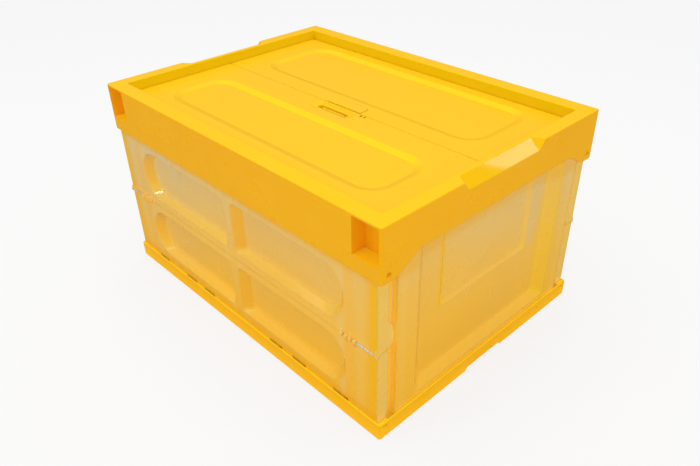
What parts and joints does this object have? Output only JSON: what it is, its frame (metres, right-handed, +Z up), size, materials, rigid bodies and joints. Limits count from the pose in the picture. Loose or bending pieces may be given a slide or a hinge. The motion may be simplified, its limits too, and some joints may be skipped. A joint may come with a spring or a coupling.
{
  "type": "folding crate",
  "caption": "Stacking plastic crate with a flat split lid, translucent walls that fold inwards, a deep rim with hand pockets and a shallow base tray.",
  "frame": {"origin": "centre of the underside, on the plane the crate stands on", "axes": "+X along the crate's length, +Y across it towards the lid leaf without the finger slot, +Z up"},
  "size_m": [0.53, 0.3854, 0.285],
  "materials": {
    "frame": "satin moulded polypropylene",
    "base": "satin moulded polypropylene",
    "lid": "satin moulded polypropylene",
    "side_panel": "milky translucent polypropylene",
    "end_panel": "milky translucent polypropylene",
    "rod": "drawn wire"
  },
  "bodies": {
    "crate": {"base": "base", "top_frame": "frame", "upper_front_panel": "side_panel", "lower_front_panel": "side_panel", "upper_rear_panel": "side_panel", "lower_rear_panel": "side_panel", "rod_top_front": "rod", "rod_top_rear": "rod", "rod_base_front": "rod", "rod_base_rear": "rod", "rod_fold_front_left": "rod", "rod_fold_front_right": "rod", "rod_fold_rear_left": "rod", "rod_fold_rear_right": "rod"},
    "lid_front": {"lid_front": "lid"},
    "lid_rear": {"lid_rear": "lid"},
    "end_panel_right": {"end_panel_right": "end_panel"},
    "end_panel_left": {"end_panel_left": "end_panel"}
  },
  "joints": [
    {"name": "lid_front_hinge", "type": "hinge", "parent": "crate", "child": "lid_front", "pos_m": [0, -0.161, 0.266], "axis": [1, 0, 0], "range_deg": [0, 100]},
    {"name": "lid_rear_hinge", "type": "hinge", "parent": "crate", "child": "lid_rear", "pos_m": [0, 0.161, 0.266], "axis": [-1, 0, 0], "range_deg": [0, 100]},
    {"name": "end_right_hinge", "type": "hinge", "parent": "crate", "child": "end_panel_right", "pos_m": [0.252, 0, 0.252], "axis": [0, 1, 0], "range_deg": [0, 90]},
    {"name": "end_left_hinge", "type": "hinge", "parent": "crate", "child": "end_panel_left", "pos_m": [-0.252, 0, 0.252], "axis": [0, -1, 0], "range_deg": [0, 90]}
  ]
}
